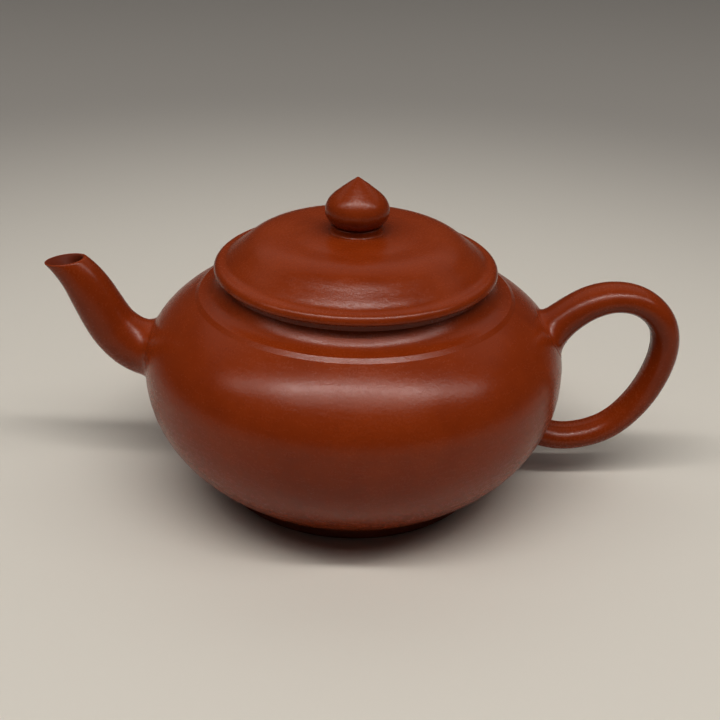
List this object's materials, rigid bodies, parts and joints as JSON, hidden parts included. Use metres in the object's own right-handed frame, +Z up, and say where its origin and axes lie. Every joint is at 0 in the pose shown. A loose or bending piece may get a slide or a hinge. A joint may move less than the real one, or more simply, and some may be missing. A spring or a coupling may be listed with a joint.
{
  "type": "clay teapot",
  "caption": "Low round teapot of unglazed red clay with a curved spout, ear-shaped handle and domed lid with a pointed knob; the lid lifts off and turns.",
  "frame": {"origin": "on the pot's upright axis, at the level that the foot ring stands on", "axes": "+Z up along the pot's axis, +X towards the handle, -X towards the spout"},
  "size_m": [0.1359, 0.09, 0.0683],
  "materials": {
    "red_clay": "unglazed, burnished satin"
  },
  "bodies": {
    "pot": {"body_wall": "red_clay", "base_disc": "red_clay", "foot_ring": "red_clay", "shoulder_plate": "red_clay", "neck_ring": "red_clay", "spout": "red_clay", "spout_joint_fillet": "red_clay", "ball_strainer": "red_clay", "handle": "red_clay", "handle_upper_joint_fillet": "red_clay", "handle_lower_joint_fillet": "red_clay"},
    "flange": {"lid_flange": "red_clay"},
    "lid": {"lid_plate": "red_clay", "knob_collar": "red_clay", "knob": "red_clay"}
  },
  "joints": [
    {"name": "lid_lift", "type": "slide", "parent": "pot", "child": "flange", "axis": [0, 0, 1], "range_m": [0, 0.06]},
    {"name": "lid_turn", "type": "hinge", "parent": "flange", "child": "lid", "pos_m": [0, 0, 0.0485], "axis": [0, 0, 1], "continuous": true}
  ]
}
